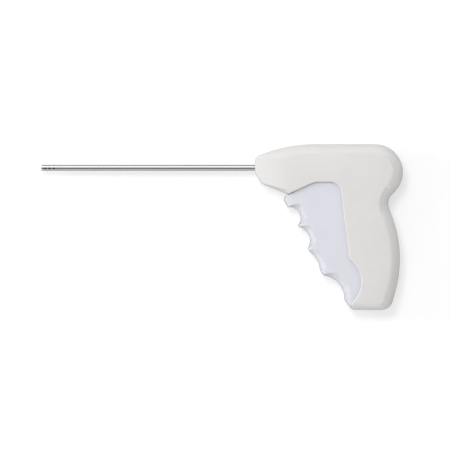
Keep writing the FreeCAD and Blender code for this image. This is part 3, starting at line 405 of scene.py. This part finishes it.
def one_tack():
    """Grid of points of the first tack: its outside from nose to tail, closed through its bore.

    Outside, the radius is the core's plus the thread's height times a smooth bump of the fraction
    x / lead - angle / full turn, which is widest at its middle. The nose tapers with the square of
    how far a point is before the nose's end.
    """
    angle = np.linspace(0.0, 2 * math.pi, TACK_COLUMNS, endpoint=False)
    along = np.linspace(0.0, TACK_LENGTH, TACK_ROWS)
    x, turn = np.meshgrid(along, angle, indexing="ij")
    phase = (x / THREAD_LEAD - turn / (2 * math.pi)) % 1.0
    ridge = np.clip(1.0 - np.abs(phase - 0.5) / THREAD_HALF_WIDTH, 0.0, 1.0)
    taper = 1.0 - TACK_NOSE_TAPER * np.clip(1.0 - x / TACK_NOSE_LENGTH, 0.0, 1.0) ** 2
    radius = (TACK_CORE_RADIUS + THREAD_HEIGHT * ridge * ridge * (3 - 2 * ridge)) * taper
    bore = np.full_like(radius[:1], TACK_BORE_RADIUS)
    radius = np.concatenate([bore, radius, bore, bore])
    x = np.concatenate([x[:1], x, x[-1:], x[:1]])
    turn = np.concatenate([turn[:1], turn, turn[-1:], turn[:1]])
    return np.stack([x + FIRST_TACK_X, radius * np.cos(turn), radius * np.sin(turn)], axis=-1)


def threaded_tacks():
    """All tacks in a row on the rod, one pitch apart, as copies of the first."""
    one = one_tack()
    rows, columns = one.shape[:2]
    shifts = np.arange(TACK_COUNT)[:, None, None, None] * TACK_PITCH * np.array([1.0, 0.0, 0.0])
    first_points = np.arange(TACK_COUNT)[:, None, None] * rows * columns
    faces = grid_faces(rows, columns)[None] + first_points
    mesh = closed_mesh("threaded_tacks", one[None] + shifts, faces.reshape(-1, 4).tolist(),
                       tack_polymer)
    add_piece("threaded_tacks", mesh, "tack_train", "tacks")


threaded_tacks()


# Table

TABLE_Z = -16.0
TABLE_GAP = 0.02
TABLE_HALF_SIZE = 3000.0
TABLE_SHARE_LIT = 0.48
TABLE_SHARE_GLOW = 0.56
TABLE_TONE = 0.8
# Tone that shiny surfaces see: darker than the table's own, painted shade in their reflections
TABLE_TONE_MIRRORED = 0.45


def table_white():
    """White to the camera and partly glow, so that shadows stay faint; plain grey to other rays, and a
    darker grey to shiny surfaces, which is painted shade in what they mirror.
    """
    material, tree, output, add = new_material("table white")
    path = add("ShaderNodeLightPath")
    lit = add("ShaderNodeBsdfDiffuse", Color=grey(TABLE_SHARE_LIT))
    glow = add("ShaderNodeEmission", Color=grey(1.0), Strength=TABLE_SHARE_GLOW)
    seen = add("ShaderNodeAddShader")
    felt = add("ShaderNodeBsdfDiffuse", Color=grey(TABLE_TONE))
    # Darker grey for glossy rays only: painted shade in the reflections of the table
    mirrored = add("ShaderNodeBsdfDiffuse", Color=grey(TABLE_TONE_MIRRORED))
    unseen = add("ShaderNodeMixShader")
    choice = add("ShaderNodeMixShader")
    join(tree,
         (lit, "BSDF", seen, 0),
         (glow, "Emission", seen, 1),
         (path, "Is Glossy Ray", unseen, "Fac"),
         (felt, "BSDF", unseen, 1),
         (mirrored, "BSDF", unseen, 2),
         (path, "Is Camera Ray", choice, "Fac"),
         (unseen, "Shader", choice, 1),
         (seen, "Shader", choice, 2),
         (choice, "Shader", output, "Surface"))
    return material


def add_table():
    """A level square just under the handle's lowest face."""
    half = TABLE_HALF_SIZE * MM
    corners = [(-half, -half, 0), (half, -half, 0), (half, half, 0), (-half, half, 0)]
    mesh = bpy.data.meshes.new("table")
    mesh.from_pydata(corners, [], [(0, 1, 2, 3)])
    mesh.materials.append(table_white())
    table = bpy.data.objects.new("table", mesh)
    table.location = (0, 0, (TABLE_Z - TABLE_GAP) * MM)
    bpy.context.scene.collection.objects.link(table)


add_table()


# Lamps: name, place, the point it faces, its two sides and its power in watts

SOFTBOXES = (
    ("key", (-170, 280, 1120), (60, -30, 0), (300, 300), 5.4),
    ("side", (-860, 120, 330), (80, -60, 0), (240, 620), 3.0),
    ("fill", (-160, -880, 330), (60, -60, 0), (700, 260), 2.2),
)


def add_softbox(name, location, target, size, power):
    """Rectangular area light that faces a point and that no shiny surface mirrors."""
    data = bpy.data.lights.new(name, "AREA")
    data.shape = "RECTANGLE"
    data.size = size[0] * MM
    data.size_y = size[1] * MM
    data.energy = power
    light = bpy.data.objects.new(name, data)
    bpy.context.scene.collection.objects.link(light)
    light.location = [value * MM for value in location]
    from_light = np.array(target, float) - np.array(location, float)
    from_light /= np.linalg.norm(from_light)
    yaw = math.atan2(from_light[0], -from_light[1])
    light.rotation_euler = (math.acos(-from_light[2]), 0.0, yaw + math.pi)
    light.visible_glossy = False


for softbox in SOFTBOXES:
    add_softbox(*softbox)


# Surroundings. MIRRORED gives the tone that a shiny surface sees for each share of Y, -1 to 1

TOP_WAY = (0.12, 0.99, 0.0)
WORLD_BASE = 0.48
WORLD_SLOPE = 0.27
MIRROR_PEAK = 1.8
STRIP_END = 0.4
STRIP_FADE = 0.2
SHARE_PAST_STRIP = 0.5
MIRRORED = ((-1.0, 0.8), (-0.85, 0.7), (-0.5, 0.14), (-0.15, 0.12), (-0.02, 0.45), (0.15, 0.75),
            (0.35, 1.1), (0.55, 1.8), (0.82, 1.8), (0.93, 0.6), (1.0, 0.6))


def soft_light(tree, add, place):
    """Light for dull surfaces: base plus slope times the direction's share along TOP_WAY."""
    share = add("ShaderNodeVectorMath", operation="DOT_PRODUCT")
    share.inputs[1].default_value = TOP_WAY
    level = add("ShaderNodeMapRange", From_Min=-1.0, From_Max=1.0,
                To_Min=WORLD_BASE - WORLD_SLOPE, To_Max=WORLD_BASE + WORLD_SLOPE)
    soft = add("ShaderNodeBackground", Color=grey(1.0))
    join(tree,
         (place, "Generated", share, 0),
         (share, "Value", level, "Value"),
         (level, "Result", soft, "Strength"))
    return soft


def mirrored_bands(tree, add, place):
    """Bands along X for shiny surfaces: dark overhead, a bright strip beyond it.

    The studio has ends: past a share of X its mirrored tones are half as strong.
    """
    split = add("ShaderNodeSeparateXYZ")
    along_ramp = add("ShaderNodeMapRange", From_Min=-1.0, From_Max=1.0)
    ramp = add("ShaderNodeValToRGB")
    stops = ramp.color_ramp.elements
    stops.remove(stops[-1])
    stops[0].color = grey(MIRRORED[0][1] / MIRROR_PEAK)
    for share_y, tone in MIRRORED[1:]:
        stop = stops.new((share_y + 1) / 2)
        stop.color = grey(tone / MIRROR_PEAK)
    bands = add("ShaderNodeBackground", Strength=MIRROR_PEAK)
    ends = add("ShaderNodeBackground", Strength=MIRROR_PEAK * SHARE_PAST_STRIP)
    aside = add("ShaderNodeMath", operation="ABSOLUTE")
    past_end = add("ShaderNodeMapRange", From_Min=STRIP_END, From_Max=STRIP_END + STRIP_FADE)
    shiny = add("ShaderNodeMixShader")
    join(tree,
         (place, "Generated", split, "Vector"),
         (split, "Y", along_ramp, "Value"),
         (along_ramp, "Result", ramp, "Fac"),
         (ramp, "Color", bands, "Color"),
         (ramp, "Color", ends, "Color"),
         (split, "X", aside, 0),
         (aside, "Value", past_end, "Value"),
         (past_end, "Result", shiny, "Fac"),
         (bands, "Background", shiny, 1),
         (ends, "Background", shiny, 2))
    return shiny


def set_world():
    """Dim light from all round, stronger from the top of the picture, and bands for the tube."""
    world = bpy.data.worlds.new("studio")
    bpy.context.scene.world = world
    world.use_nodes = True
    tree = world.node_tree
    tree.nodes.clear()
    add = node_adder(tree)
    output = add("ShaderNodeOutputWorld")
    place = add("ShaderNodeTexCoord")
    path = add("ShaderNodeLightPath")
    choice = add("ShaderNodeMixShader")
    join(tree,
         (path, "Is Glossy Ray", choice, "Fac"),
         (soft_light(tree, add, place), "Background", choice, 1),
         (mirrored_bands(tree, add, place), "Shader", choice, 2),
         (choice, "Shader", output, "Surface"))


set_world()
